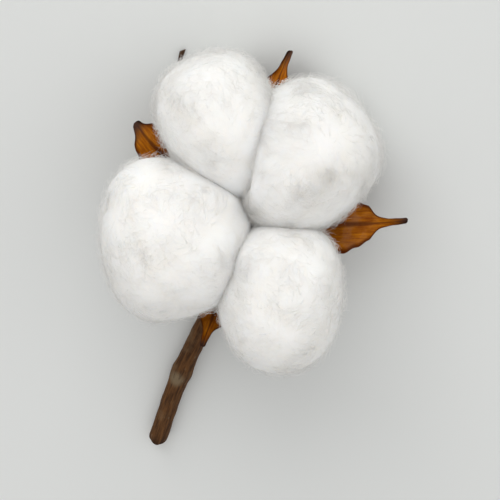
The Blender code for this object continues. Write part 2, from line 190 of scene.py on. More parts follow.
def over_burr(x, y):
    """For points over the floor: the burr's middle height and wall, and how far each lies outside its rim."""
    radius = np.maximum(np.hypot(x, y), 1e-6)
    azimuth = np.degrees(np.arctan2(y, x))
    height = np.zeros_like(radius)
    wall = np.full_like(radius, WALL)
    outside = np.full_like(radius, np.inf)
    for index, valve in enumerate(VALVES):
        turned = azimuth - valve.azimuth - valve.sway * past_joint(radius, valve) ** 2
        offset = (turned + 180.0) % 360.0 - 180.0
        reach = np.where(offset > 0, half_angle(radius, index, 1), half_angle(radius, index, -1))
        beside = radius * np.radians(np.clip(np.abs(offset) - reach, 0, None))
        away = np.hypot(beside, np.clip(radius - valve.reach, 0, None))
        middle = burr_middle(radius, np.clip(offset / reach, -1, 1), valve)
        height = np.where(away < outside, middle, height)
        wall = np.where(away < outside, burr_wall(radius, valve), wall)
        outside = np.minimum(away, outside)
    return height, wall, outside


def valve_skin(index, side, radius):
    """One face of a valve as a grid, a row for each radius, with each point's across, along, leaf and side.

    side is 1 for the inner face and -1 for the outer. Columns lie close over the midline, where the inner
    face rises into the septum, a wall with a round crest whose outline is a quarter of an ellipse.
    """
    valve = VALVES[index]
    reach = np.stack([half_angle(radius, index, -1), half_angle(radius, index, 1)])
    free = smoothstep((radius - JOINED_REACH) / EASE_IN)
    phase = EDGE_WAVE_TURN * index + np.array(EDGE_WAVE_PHASES)[:, None]
    wave = 1 + EDGE_WAVE * free * np.sin(radius / EDGE_WAVE_LENGTH * 2 * pi + phase)
    sectors = np.array((half_sector(index, -1), half_sector(index, 1)))[:, None]
    reach = np.where(reach < sectors, reach * wave, reach)
    past_round = (radius - valve.reach + POINT_ROUNDING) / POINT_ROUNDING
    rounding = np.sqrt(1 - np.clip(past_round, 0, POINT_ROUNDED_OFF) ** 2)
    reach = reach * rounding
    steps = MIDLINE_STEPS[:, None] / MIDLINE_STEPS[-1]
    middle = np.degrees(np.arcsin(np.clip(MIDLINE_HALF_WIDTH / radius, 0, 1))) * steps
    middle = np.minimum(middle, MIDLINE_MOST * reach.min(axis=0) * steps)
    blade = np.linspace(0, 1, BLADE_COLUMNS)[1:, None]
    halves = [np.concatenate([middle, middle[-1] + (half - middle[-1]) * blade]) for half in reach]
    angles = np.concatenate([-halves[0][:0:-1], halves[1]]).T
    across = np.clip(angles / np.where(angles < 0, reach[0][:, None], reach[1][:, None]), -1, 1)
    spread = radius[:, None]
    wall = burr_wall(spread, valve) * (1 - EDGE_THINNING * across**4 * free[:, None]) * rounding[:, None]
    curl = CURL * free[:, None] * np.clip((np.abs(across) - CURL_START) / (1 - CURL_START), 0, 1) ** 2
    height = burr_middle(spread, across, valve) + side * wall / 2 + curl
    if side == 1:
        crest = SEPTUM_HEIGHT * np.sqrt(np.clip(1 - (spread / SEPTUM_REACH) ** 2, 0, None))
        lateral = spread * np.radians(np.abs(angles))
        height = height + crest * np.exp(-((lateral / SEPTUM_HALF) ** 6))
    bearing = np.radians(valve.azimuth + valve.sway * past_joint(spread, valve) ** 2 + angles)
    points = np.stack([spread * np.cos(bearing), spread * np.sin(bearing), height], axis=-1)
    along = past_joint(spread, valve) + 0 * across
    layer = SKIN_STEP * side + VALVE_STEP * index + 0 * across
    leaf = np.stack([spread * np.radians(angles), spread + 0 * across, layer], axis=-1)
    return points, np.abs(across), along, leaf, height * 0 + side


def burr_grids():
    """The burr's points, faces and kept values: two skins a valve, its edges and its blunt point closed."""
    points, faces, across, along, leaf, inner = [], [], [], [], [], []
    start = 0
    for index, valve in enumerate(VALVES):
        joined = np.linspace(INNERMOST_ROW, JOINED_REACH, JOINED_ROWS)
        eased = np.sin(pi / 2 * np.linspace(0, 1, FREE_ROWS + 1)[1:])
        free = JOINED_REACH + (valve.reach - JOINED_REACH) * eased
        radius = np.concatenate([joined, free])
        rows, columns = len(radius), 2 * (len(MIDLINE_STEPS) + BLADE_COLUMNS - 1) - 1
        for side in (1, -1):
            skin = valve_skin(index, side, radius)
            for kept, grid in zip((points, across, along, leaf, inner), skin):
                kept.append(grid.reshape(rows * columns, -1))
            quads = grid_faces(rows, columns) + start + (0 if side == 1 else rows * columns)
            faces.append(quads if side == 1 else quads[:, ::-1])
        under = start + rows * columns
        last = (rows - 1) * columns + np.arange(columns - 1)
        faces.append(np.stack([start + last + 1, start + last, under + last, under + last + 1], axis=-1))
        for side, column in ((-1, 0), (1, columns - 1)):
            split = np.flatnonzero(half_angle(radius, index, side) < half_sector(index, side))[0] - 1
            row = np.arange(split, rows - 1) * columns + column
            wall = np.stack([start + row, start + row + columns, under + row + columns, under + row], axis=-1)
            faces.append(wall if side == 1 else wall[:, ::-1])
        start += 2 * rows * columns
    return [np.concatenate(kept) for kept in (points, across, along, leaf, inner)], faces


class Shade:
    """A socket of a material's nodes. Arithmetic on it, with a number or another one, adds a Math node."""

    def __init__(self, tree, socket=None):
        self.tree = tree
        self.socket = socket

    def node(self, kind, settings=None, sockets=None, output=0):
        """Adds a node of a kind, sets its settings, then gives its sockets their values or links."""
        made = self.tree.nodes.new("ShaderNode" + kind)
        for label, value in (settings or {}).items():
            setattr(made, label, value)
        for label, value in (sockets or {}).items():
            if isinstance(value, Shade):
                self.tree.links.new(value.socket, made.inputs[label])
            else:
                made.inputs[label].default_value = value
        return Shade(self.tree, made.outputs[output])

    def math(self, operation, *values):
        """A Math node of an operation on the values."""
        return self.node("Math", {"operation": operation}, dict(enumerate(values)))

    def __add__(self, other):
        return self.math("ADD", self, other)

    def __mul__(self, other):
        return self.math("MULTIPLY", self, other)

    __radd__ = __add__
    __rmul__ = __mul__

    def between(self, low, high):
        """0 below low, 1 above high, and smooth between them."""
        ends = {"Value": self, "From Min": low, "From Max": high}
        return self.node("MapRange", {"interpolation_type": "SMOOTHSTEP"}, ends)

    def mix(self, first, second):
        """The first colour where this is 0, and the second where it is 1."""
        first, second = ((*c, 1) if isinstance(c, tuple) else c for c in (first, second))
        return self.node("Mix", {"data_type": "RGBA"}, {0: self, 6: first, 7: second}, 2)


def new_finish(name, **uniform):
    """A material with its uniform values set on its shader, and a Shade to start its patterns from."""
    material = bpy.data.materials.new(name)
    material.use_nodes = True
    shader = material.node_tree.nodes["Principled BSDF"]
    for label, value in uniform.items():
        shader.inputs[label.replace("_", " ")].default_value = value
    return material, Shade(material.node_tree)


def feed(material, **links):
    """Links what varies over the surface to the shader's sockets."""
    shader = material.node_tree.nodes["Principled BSDF"]
    for label, value in links.items():
        material.node_tree.links.new(value.socket, shader.inputs[label.replace("_", " ")])


def burr_finish():
    """Half-glossy capsule wall: golden brown inside, mahogany outside, dark at its edge and point, with a
    painted shadow along the septum down the middle of its inner face.
    """
    material, start = new_finish("burr_wall", Specular_IOR_Level=0.14)
    leaf = start.node("Attribute", {"attribute_name": "leaf"}, output="Vector")
    across = start.node("Attribute", {"attribute_name": "across"}, output="Fac")
    along = start.node("Attribute", {"attribute_name": "along"}, output="Fac")
    inner = start.node("Attribute", {"attribute_name": "inner"}, output="Fac").between(-0.5, 0.5)
    stretched = start.node("Mapping", None, {"Vector": leaf, "Scale": (2600.0, 240.0, 1000.0)})
    streaks = start.node(
        "TexNoise", None, {"Vector": stretched, "Scale": 1.0, "Detail": 5.0, "Roughness": 0.62}
    )
    blotches = start.node("TexNoise", None, {"Vector": leaf, "Scale": 420.0, "Detail": 3.0})
    dots = start.node("TexVoronoi", None, {"Vector": leaf, "Scale": 1500.0}).between(0.30, 0.12)
    golden = (0.75 * streaks + 0.45 * blotches).between(0.42, 0.82)
    inside = golden.mix((0.275, 0.066, 0.002), (0.640, 0.220, 0.004))
    pink = (0.06 + 0.44 * along.between(0.74, 0.46)) * blotches.between(0.46, 0.68)
    inside = pink.mix(inside, (0.340, 0.150, 0.085))
    # Painted shadow: the septum and the middle of the inner face are darkened as if shaded by the septum's
    # ridge.
    septum_shadow = across.between(0.15, 0.03) * inner
    inside = (0.75 * septum_shadow).mix(inside, (0.075, 0.014, 0.004))
    mahogany = (0.6 * streaks + 0.5 * blotches).between(0.40, 0.80)
    outside = mahogany.mix((0.095, 0.020, 0.004), (0.250, 0.072, 0.010))
    outside = (0.75 * dots).mix(outside, (0.022, 0.009, 0.006))
    body = inner.mix(outside, inside)
    edge = (across + 0.25 * streaks).between(0.88, 1.08)
    body = (0.85 * edge).mix(body, (0.100, 0.016, 0.003))
    point = (along + 0.16 * blotches).between(0.88, 1.06)
    body = (0.90 * point).mix(body, (0.060, 0.036, 0.032))
    grain = streaks + 0.35 * dots
    normal = start.node("Bump", None, {"Strength": 0.55, "Distance": 0.00022, "Height": grain})
    feed(material, Base_Color=body, Roughness=0.42 + 0.28 * streaks, Normal=normal)
    return material


(burr_points, burr_across, burr_along, burr_leaf, burr_inner), burr_faces = burr_grids()
add_piece(
    "burr_valves", carried(burr_points), burr_faces, burr_finish(), "burr", "burr",
    across=burr_across[:, 0], along=burr_along[:, 0], leaf=burr_leaf, inner=burr_inner[:, 0],
)

# Locks
# Each lock is the lint of one chamber: the fibres of all its seeds, puffed out of the split capsule into
# one soft mass of tufts. It is pressed flat against its neighbours and the table.

Lock = namedtuple(
    "Lock", "name azimuth distance outer_half inner_half side_half long_azimuth height half_height"
)
LOCKS = (
    Lock("upper_right", 72.2, 0.0176, 0.0146, 0.0192, 0.0143, 57.5, 0.0132, 0.0195),
    Lock("upper_left", 127.3, 0.0227, 0.0122, 0.0192, 0.0119, 136.0, 0.0133, 0.0197),
    Lock("lower_left", 210.0, 0.0183, 0.0114, 0.0196, 0.0162, 204.3, 0.0172, 0.0148),
    Lock("lower_right", 316.4, 0.0136, 0.0174, 0.0127, 0.0124, 289.2, 0.0168, 0.0146),
)
SQUARENESS, PRESS_POWER = 2.3, 36
SEAM_AT_SEPTUM, SEAM_ABOVE, SEAM_START, SEAM_EASE = 0.00090, -0.00095, -0.05, 0.35
LIP_RISE, LIP_WIDTH, LIP_START, LIP_EASE = 0.0026, 0.0030, -0.05, 0.70
HOLE_RADIUS, HOLE_EASE = 0.0014, 0.0048
TUFTS, TUFT_DEPTH, CREASE_WIDTH, TUFT_SCATTER, LINT_SEED = 11, 0.030, 0.40, 0.16, 41
CREASE_ROUNDING = 0.10
BILLOWS = ((0.0100, 0.007), (0.0042, 0.0017), (0.0013, 0.0005))
REST_GAP, RIM_MARGIN, RIM_SLOPE, RIM_ROUNDING = 0.0007, 0.0016, 0.95, 0.0035
RIM_DROP, RIM_DROP_RUN = 0.0030, 0.0018
BELLY_LIFT, BELLY_RUN, BELLY_HEIGHT = 0.0016, 0.0050, 0.0070
STAIN_REACH, CREASE_SHADE = 0.0016, 0.10
LOCK_ROWS, LOCK_COLUMNS = 150, 190


def tuft_directions(index):
    """Directions of a lock's tufts: an even spiral over a sphere, with each turned a little."""
    draw = np.random.default_rng(LINT_SEED + index)
    turn = (np.arange(TUFTS) + draw.uniform(0, 1)) * pi * (3 - 5**0.5)
    up = 1 - (2 * np.arange(TUFTS) + 1) / TUFTS
    flat = np.sqrt(1 - up**2)
    spread = np.stack([flat * np.cos(turn), flat * np.sin(turn), up], axis=1)
    return unit(spread + draw.normal(0, TUFT_SCATTER, spread.shape))


def from_crease(directions, index):
    """How much further the second nearest tuft is than the nearest, as an angle: 0 all along a crease."""
    angles = np.arccos(np.clip(directions @ tuft_directions(index).T, -1, 1))
    nearest = np.partition(angles, 1, axis=-1)
    return nearest[..., 1] - nearest[..., 0]


def pressing_planes(index):
    """The two planes that press a lock: the way out to each, how far it is, and its seam's shift."""
    lock = LOCKS[index]
    for valve, side in ((VALVES[index], -1), (VALVES[(index + 1) % len(VALVES)], 1)):
        plane = radians(valve.azimuth)
        normal = side * np.array((-sin(plane), cos(plane), 0))
        yield normal, abs(lock.distance * sin(radians(lock.azimuth) - plane)), side * valve.seam


def pressed(directions, index, radius, spill):
    """The radius drawn in to the planes of the two valves beside the lock, by a smooth least of the three.

    The least is the sum of their inverses to a high power. Low down a plane keeps off the septum, and above
    it is drawn back, so that the neighbours' lint merges. A spill lets a fibre reach further beyond it.
    """
    inverse = radius**-PRESS_POWER
    low = smoothstep((SEAM_START - directions[..., 2]) / SEAM_EASE)
    seam = SEAM_ABOVE + (SEAM_AT_SEPTUM - SEAM_ABOVE) * low - spill
    for normal, apart, shift in pressing_planes(index):
        reach = apart + shift * (1 - low) - seam
        inverse = inverse + (np.clip(directions @ normal, 0, None) / reach) ** PRESS_POWER
    return inverse ** (-1 / PRESS_POWER)


def lip_rise(directions, index, offset):
    """How far the lint pressed against a neighbour has swollen up, for points at an offset from the middle.

    It falls off exponentially with the distance to the valve's plane, and smoothly to the underside and
    to the boll's axis, where the four locks leave a small hole.
    """
    lock = LOCKS[index]
    bearing = radians(lock.azimuth)
    rise = np.zeros(offset.shape[:-1])
    for normal, apart, shift in pressing_planes(index):
        rise = rise + np.exp(-np.clip(apart + shift - offset @ normal, 0, None) / LIP_WIDTH)
    middle = np.array((lock.distance * cos(bearing), lock.distance * sin(bearing), 0))
    from_axis = np.linalg.norm((offset + middle)[..., :2], axis=-1)
    up = smoothstep((directions[..., 2] - LIP_START) / LIP_EASE)
    return LIP_RISE * np.clip(rise, 0, 1) * up * smoothstep((from_axis - HOLE_RADIUS) / HOLE_EASE)


def lock_surface(directions, index, above=0.0, spill=0.0):
    """Points of a lock in the part's frame above its surface by a height, and three measures of each.

    An egg with one end longer than the other, swollen over each tuft, creased between tufts and billowed
    by noise, then pressed by the valves' planes and swollen at their lips. What would lie in a valve is
    lifted onto it, with a rounded corner between. Past the valve's rim it hangs down, and its low corner is
    lifted a little off the table. The measures are how far each point is from a crease, how high it stands
    over the burr, and the share of the egg's radius that the pressing left.
    """
    lock = LOCKS[index]
    bearing, long_bearing = radians(lock.azimuth), radians(lock.long_azimuth)
    along = directions @ np.array((cos(long_bearing), sin(long_bearing), 0))
    beside = directions @ np.array((-sin(long_bearing), cos(long_bearing), 0))
    long_part = along / np.where(along > 0, lock.outer_half, lock.inner_half)
    parts = (long_part, beside / lock.side_half, directions[..., 2] / lock.half_height)
    egg = sum(abs(part) ** SQUARENESS for part in parts) ** (-1 / SQUARENESS)
    crease = from_crease(directions, index)
    rounded = np.hypot(crease, CREASE_ROUNDING) - CREASE_ROUNDING
    swell = 1 - TUFT_DEPTH * np.exp(-rounded / CREASE_WIDTH)
    for number, (scale, depth) in enumerate(BILLOWS):
        swell = swell + depth * ripple(directions * egg[..., None], scale, LINT_SEED + 10 * index + number)
    middle = np.array((lock.distance * cos(bearing), lock.distance * sin(bearing), lock.height))
    radius = pressed(directions, index, egg * swell, spill)
    offset = directions * (radius + above)[..., None]
    points = middle + offset
    points[..., 2] += lip_rise(directions, index, offset)
    height, wall, outside = over_burr(points[..., 0], points[..., 1])
    past_rim = np.clip(outside - RIM_MARGIN, 0, None)
    hang = RIM_SLOPE * past_rim + RIM_DROP * (1 - np.exp(-past_rim / RIM_DROP_RUN))
    bearing_height = height + wall / 2 + REST_GAP + above - hang
    over = points[..., 2] - bearing_height
    near = np.clip(1 - np.abs(over) / RIM_ROUNDING, 0, None)
    points[..., 2] = np.maximum(points[..., 2], bearing_height) + near**2 * RIM_ROUNDING / 4
    points = carried(points)
    hanging = np.clip(1 - over / BELLY_RUN, 0, 1) ** 2 * np.clip(1 - points[..., 2] / BELLY_HEIGHT, 0, 1) ** 2
    points[..., 2] = np.clip(points[..., 2], 0, None) + BELLY_LIFT * hanging
    return points, crease, over, radius / (egg * swell)


def lock_directions(index):
    """Directions over a sphere in rows, from the pole that faces the boll's middle to the far one."""
    bearing = radians(LOCKS[index].azimuth)
    polar = np.linspace(0, pi, LOCK_ROWS + 2)[1:-1, None]
    turn = np.linspace(0, 2 * pi, LOCK_COLUMNS, endpoint=False)[None, :]
    inwards = np.array((-cos(bearing), -sin(bearing), 0))
    sideways = np.array((-sin(bearing), cos(bearing), 0))
    upwards = np.array((0.0, 0.0, 1.0))
    rows = np.cos(polar)[..., None] * inwards + (np.sin(polar) * np.cos(turn))[..., None] * sideways
    rows = rows + (np.sin(polar) * np.sin(turn))[..., None] * upwards
    return np.concatenate([rows.reshape(-1, 3), [inwards], [-inwards]])


def lint_finish():
    """Raw cotton: warm white, matte and light-soaked, with painted warm shade in the creases between its
    tufts, and a little browner where it lay against the capsule.
    """
    material, start = new_finish(
        "raw_cotton", Roughness=0.95, Specular_IOR_Level=0.12, Sheen_Weight=0.15, Sheen_Roughness=0.6,
        Subsurface_Weight=0.95, Subsurface_Scale=0.0060, Subsurface_Radius=(1.0, 0.94, 0.86),
    )
    place = start.node("TexCoord", output="Object")
    stain = start.node("Attribute", {"attribute_name": "stain"}, output="Fac")
    deep = start.node("Attribute", {"attribute_name": "deep"}, output="Fac")
    cloud = start.node("TexNoise", None, {"Vector": place, "Scale": 330.0, "Detail": 4.0, "Distortion": 0.8})
    bent = start.node("TexNoise", None, {"Vector": place, "Scale": 210.0, "Detail": 1.0}, output="Color")
    shift = {0: bent, 1: (0.012, 0.012, 0.012), 2: place}
    warped = start.node("VectorMath", {"operation": "MULTIPLY_ADD"}, shift)
    strands = start.node(
        "Mapping", None, {"Vector": warped, "Scale": (800.0, 5600.0, 3800.0), "Rotation": (0.5, 0.3, 0.9)}
    )
    fibre = start.node("TexNoise", None, {"Vector": strands, "Scale": 1.0, "Detail": 4.0, "Roughness": 0.65})
    body = cloud.between(0.3, 0.75).mix((0.912, 0.900, 0.874), (0.932, 0.924, 0.904))
    # Painted shade and painted warm reflection: the creases between tufts are darkened to a warm grey-tan.
    body = (0.30 * deep).mix(body, (0.885, 0.850, 0.790))
    body = (0.50 * stain * cloud.between(0.25, 0.7)).mix(body, (0.640, 0.480, 0.300))
    normal = start.node("Bump", None, {"Strength": 0.45, "Distance": 0.00018, "Height": fibre})
    feed(material, Base_Color=body, Normal=normal)
    return material


lint = lint_finish()
for number, lock in enumerate(LOCKS):
    over_lock = lock_directions(number)
    lint_points, crease_angle, over_valve, _ = lock_surface(over_lock, number)
    lint_faces = [grid_faces(LOCK_ROWS, LOCK_COLUMNS, around=True), end_fans(LOCK_ROWS, LOCK_COLUMNS)]
    # The crease mask stored here carries painted shade into the creases between tufts.
    add_piece(
        "lint_" + lock.name, lint_points, lint_faces, lint, "lint", "lock_" + lock.name,
        stain=np.exp(-np.clip(over_valve, 0, None) / STAIN_REACH), deep=np.exp(-crease_angle / CREASE_SHADE),
    )

# Fibres
# The loose ends and loops of the lint: fine flattened hairs that lie over each lock and stray from it. Each
# is a thin closed three-sided tube with its root sunk in the lock.

FIBRES, SPOTS = 6600, 33000
FIBRE_RINGS = 5
FIBRE_RADIUS, FIBRE_TAPER, FIBRE_ROOT = 0.000030, 0.55, 0.00016
LOOP_LEAN, STRAY_BEND = 0.4, 1.4
# How far hairs differ from the usual one, as shares of its length, height, swing, pace and width
LENGTHS, RISES, SWINGS, PACES, WIDTHS = (0.6, 1.5), (0.35, 1.6), (0.2, 1.6), (0.5, 1.4), (0.6, 1.35)
CLEAR_HEIGHT, TABLE_GAP = 0.0008, 0.00005
OPEN_FACE, PRESSED_SHARE = 0.9, 0.10
MEAN_RADIUS = 0.015
Nap = namedtuple("Nap", "share length rise loop spill")
NAPS = (
    Nap(0.22, 0.0050, 0.00026, True, 0.0),
    Nap(0.16, 0.0044, 0.00075, True, 0.0),
    Nap(0.18, 0.0024, 0.00090, False, 0.0004),
    Nap(0.06, 0.0045, 0.00150, False, 0.0008),
    Nap(0.38, 0.0050, 0.00034, True, 0.0018),
)
LIP = (0.80, 0.975)
FLOW_RADIUS, FLOW_SCALE, FLOW_SPREAD = 0.016, 0.011, 0.65
CRIMP, CRIMP_TURNS = 0.00035, 1.4


def fibre_tubes(index):
    """Points and triangles of a lock's fibres.

    A fibre starts at a random spot, runs along a smooth flow over the lock, turned by a random angle, and
    swings from side to side by a sine. It rises as half a sine if both its ends are sunk, or as a power of
    its length if one end is free. Its radius narrows to a point. The last kind start on the lips of the
    seams and run on over them, beyond the planes that press the lock.
    """
    draw = np.random.default_rng(LINT_SEED * 7 + index)
    root = unit(draw.normal(0, 1, (SPOTS, 3)))
    spot, _, over, left = lock_surface(root, index)
    centre = spot.mean(axis=0)
    clear = (over > CLEAR_HEIGHT) & (spot[:, 2] > CLEAR_HEIGHT)
    lip = np.flatnonzero(clear & (left > LIP[0]) & (left < LIP[1]))[: int(NAPS[-1].share * FIBRES)]
    kept = (left > OPEN_FACE) | (draw.uniform(0, 1, len(root)) < PRESSED_SHARE)
    open_face = np.flatnonzero(clear & kept)[: FIBRES - len(lip)]
    shares = np.cumsum([nap.share for nap in NAPS[:-1]])
    kind = np.searchsorted(shares / shares[-1], draw.uniform(0, 1, len(open_face)))
    kind = np.concatenate([kind, np.full(len(lip), len(NAPS) - 1)])
    root = root[np.concatenate([open_face, lip])]
    count = len(root)
    length, rise, looped, spill = np.array(NAPS, dtype=float)[kind, 1:].T
    length = length * draw.uniform(*LENGTHS, count)
    rise = rise * draw.uniform(*RISES, count)
    flow_seed = LINT_SEED * 11 + 3 * index
    field = [ripple(root * FLOW_RADIUS, FLOW_SCALE, flow_seed + axis) for axis in range(3)]
    way = unit(np.cross(root, np.stack(field, axis=-1)))
    side = np.cross(root, way)
    turn = draw.normal(0, FLOW_SPREAD, count)[:, None]
    way, side = way * np.cos(turn) + side * np.sin(turn), side * np.cos(turn) - way * np.sin(turn)
    run = np.linspace(0, 1, FIBRE_RINGS + 1)[None, :]
    swing = CRIMP * draw.uniform(*SWINGS, (count, 1))
    pace = draw.uniform(*PACES, (count, 1))
    phase = draw.uniform(0, 2 * pi, (count, 1))
    swing = swing * np.sin(2 * pi * CRIMP_TURNS * run * pace + phase)
    forward = (length[:, None] * run / MEAN_RADIUS)[..., None] * way[:, None]
    directions = unit(root[:, None] + forward + (swing / MEAN_RADIUS)[..., None] * side[:, None])
    arch = np.where(looped[:, None] > 0, np.sin(pi * run) * (1 + LOOP_LEAN * run), run**STRAY_BEND)
    above = -FIBRE_ROOT + rise[:, None] * arch
    path, _, _, _ = lock_surface(directions, index, above, spill[:, None] * run)
    heading = unit(np.gradient(path, axis=1))
    outward = unit(path - centre)
    beside = unit(np.cross(heading, outward))
    normal = np.cross(beside, heading)
    width = FIBRE_RADIUS * draw.uniform(*WIDTHS, (count, 1)) * (1 - FIBRE_TAPER * run[:, :-1])
    corner = 2 * pi * np.arange(3) / 3
    ring = beside[:, :-1, None] * np.cos(corner)[:, None] + normal[:, :-1, None] * np.sin(corner)[:, None]
    rings = path[:, :-1, None] + ring * width[..., None, None]
    points = np.concatenate([rings.reshape(count, -1, 3), path[:, -1:]], axis=1)
    points[..., 2] = np.maximum(points[..., 2], TABLE_GAP)
    tube = grid_faces(FIBRE_RINGS, 3, around=True)
    tube = np.concatenate([tube[:, (0, 1, 2)], tube[:, (0, 2, 3)], [(2, 1, 0)]])
    last = 3 * (FIBRE_RINGS - 1)
    tube = np.concatenate([tube, [(last + n, last + (n + 1) % 3, last + 3) for n in range(3)]])
    each = points.shape[1]
    faces = (tube[None] + each * np.arange(count)[:, None, None]).reshape(-1, 3)
    tone = np.repeat(draw.uniform(0, 1, count), each)
    return points.reshape(-1, 3), faces, tone


def fibre_finish():
    """Single cotton hairs: clear white with a soft shine, no two quite alike in tone."""
    material, start = new_finish(
        "cotton_hair", Roughness=0.7, Specular_IOR_Level=0.25, Subsurface_Weight=0.5, Subsurface_Scale=0.0006,
        Subsurface_Radius=(1.0, 0.95, 0.9),
    )
    tone = start.node("Attribute", {"attribute_name": "tone"}, output="Fac")
    feed(material, Base_Color=tone.mix((0.915, 0.895, 0.860), (0.965, 0.960, 0.945)))
    return material


hair = fibre_finish()
for number, lock in enumerate(LOCKS):
    fibre_points, fibre_faces, fibre_tone = fibre_tubes(number)
    add_piece("fibres_" + lock.name, fibre_points, [fibre_faces], hair, "lint", tone=fibre_tone)

# Calyx
# The green cup that held the bud, dried to brown paper: a thin ring under the burr, grown to it and to the
# stem, with a wavy margin of five low lobes.

CALYX_INNER, CALYX_OUTER, CALYX_WALL = 0.0031, 0.0083, 0.0007
CALYX_LOBES, CALYX_LOBE_DEPTH, CALYX_UNEVEN, CALYX_FLARE = 5, 0.0011, 0.3, 0.0009
CALYX_FRAY, CALYX_FRAY_SCALE, CALYX_CRINKLE, CALYX_CRINKLE_SCALE = 0.00025, 0.22, 0.00012, 0.35
CALYX_DROOP, CALYX_THINNING, CALYX_SEED = 1.5, 0.45, 5
CALYX_COLUMNS, CALYX_ROWS = 240, 14
TOUCH_GAP = 0.0003


def calyx_grid():
    """Rows out under the burr and back below, a wall apart, with the share of the way out and a leaf place.

    The margin's radius is a cosine of the azimuth for its lobes, with noise for its fray. The paper stands
    away from the burr by the square of the share, and crinkles by noise that grows towards the margin.
    """
    azimuth = np.linspace(0, 2 * pi, CALYX_COLUMNS, endpoint=False)[None, :]
    circle = np.stack([np.cos(azimuth), np.sin(azimuth), 0 * azimuth], axis=-1)
    uneven = 1 + CALYX_UNEVEN * np.cos(2 * azimuth + 1)
    margin = CALYX_OUTER + CALYX_LOBE_DEPTH * np.cos(CALYX_LOBES * azimuth) * uneven
    margin = margin + CALYX_FRAY * ripple(circle, CALYX_FRAY_SCALE, CALYX_SEED)
    share = np.linspace(0, 1, CALYX_ROWS)[:, None]
    radius = CALYX_INNER + (margin - CALYX_INNER) * share
    x, y = radius * np.cos(azimuth), radius * np.sin(azimuth)
    height, wall, _ = over_burr(x, y)
    folds = ripple(circle + 0.3 * share[..., None], CALYX_CRINKLE_SCALE, CALYX_SEED + 1)
    crinkle = CALYX_CRINKLE * share * (folds - CALYX_DROOP)
    upper = height - wall / 2 - TOUCH_GAP - CALYX_FLARE * share**2 + crinkle
    lower = upper - CALYX_WALL * (1 - CALYX_THINNING * share**3)
    outwards = np.stack([x, y, upper], axis=-1)
    backwards = np.stack([x, y, lower], axis=-1)[::-1]
    share = share + 0 * azimuth
    place = np.stack([np.cos(azimuth) + 0 * share, np.sin(azimuth) + 0 * share, 0.25 * share], axis=-1)
    pairs = ((outwards, backwards), (share, share[::-1]), (place, place[::-1]))
    return [np.concatenate(pair).reshape(2 * CALYX_ROWS * CALYX_COLUMNS, -1) for pair in pairs]


def dry_leaf_finish(name, pale, dark, scale):
    """Dead leaf: matte paper with fine veins along it, blotched, and burnt dark towards its margin."""
    material, start = new_finish(name, Specular_IOR_Level=0.25)
    place = start.node("Attribute", {"attribute_name": "leaf"}, output="Vector")
    out = start.node("Attribute", {"attribute_name": "out"}, output="Fac")
    stretched = start.node("Mapping", None, {"Vector": place, "Scale": scale})
    veins = start.node("TexNoise", None, {"Vector": stretched, "Scale": 1.0, "Detail": 4.0, "Roughness": 0.6})
    spots = start.node("TexCoord", output="Object")
    blotch = start.node("TexNoise", None, {"Vector": spots, "Scale": 700.0, "Detail": 3.0})
    body = (0.7 * veins + 0.5 * blotch).between(0.40, 0.80).mix(dark, pale)
    body = (0.7 * (out + 0.3 * blotch).between(0.85, 1.15)).mix(body, (0.035, 0.016, 0.008))
    normal = start.node("Bump", None, {"Strength": 0.6, "Distance": 0.00020, "Height": veins})
    feed(material, Base_Color=body, Roughness=0.55 + 0.35 * blotch, Normal=normal)
    return material


calyx_points, calyx_out, calyx_leaf = calyx_grid()
calyx_paper = dry_leaf_finish("calyx_paper", (0.290, 0.155, 0.062), (0.110, 0.050, 0.018), (22.0, 22.0, 3.0))
add_piece(
    "calyx_cup", carried(calyx_points), [grid_faces(2 * CALYX_ROWS, CALYX_COLUMNS, around=True, ring=True)],
    calyx_paper, "calyx", "calyx", out=calyx_out[:, 0], leaf=calyx_leaf,
)

# Bracts
# What is left of the three leaves that wrapped the bud: two torn stubs, and one blade that ends in a long dry
# tooth. Each grows from under the calyx and is folded along its middle.

Bract = namedtuple("Bract", "name azimuth tip_azimuth reach tip_height half_width")
BRACTS = (
    Bract("bract_1", 152.0, 131.6, 0.0373, 0.00445, 0.0024),
    Bract("bract_2", 38.0, 33.0, 0.0105, -0.0012, 0.0021),
    Bract("bract_3", 234.0, 229.0, 0.0090, -0.0006, 0.0018),
)
BRACT_ROOT, BRACT_TOP, BRACT_SAG_SHARE, BRACT_WALL = 0.0030, -0.0017, 0.059, 0.0006
BRACT_TOOTH_HALF_WIDTH, BRACT_BLADE_SHARE, BRACT_FOLD, BRACT_THINNING = 0.00045, 0.42, 0.15, 0.6
BRACT_TEAR, BRACT_TEAR_TURNS = 0.16, (23, 9)
BRACT_FRAY, BRACT_FRAY_SCALE, BRACT_CURLED_END, BRACT_CURL_SHARE = 0.00012, 0.0013, 0.00020, 0.035
BRACT_PALE, BRACT_DARK = (0.190, 0.095, 0.038), (0.060, 0.027, 0.012)
BRACT_ROWS, BRACT_COLUMNS = 120, 9


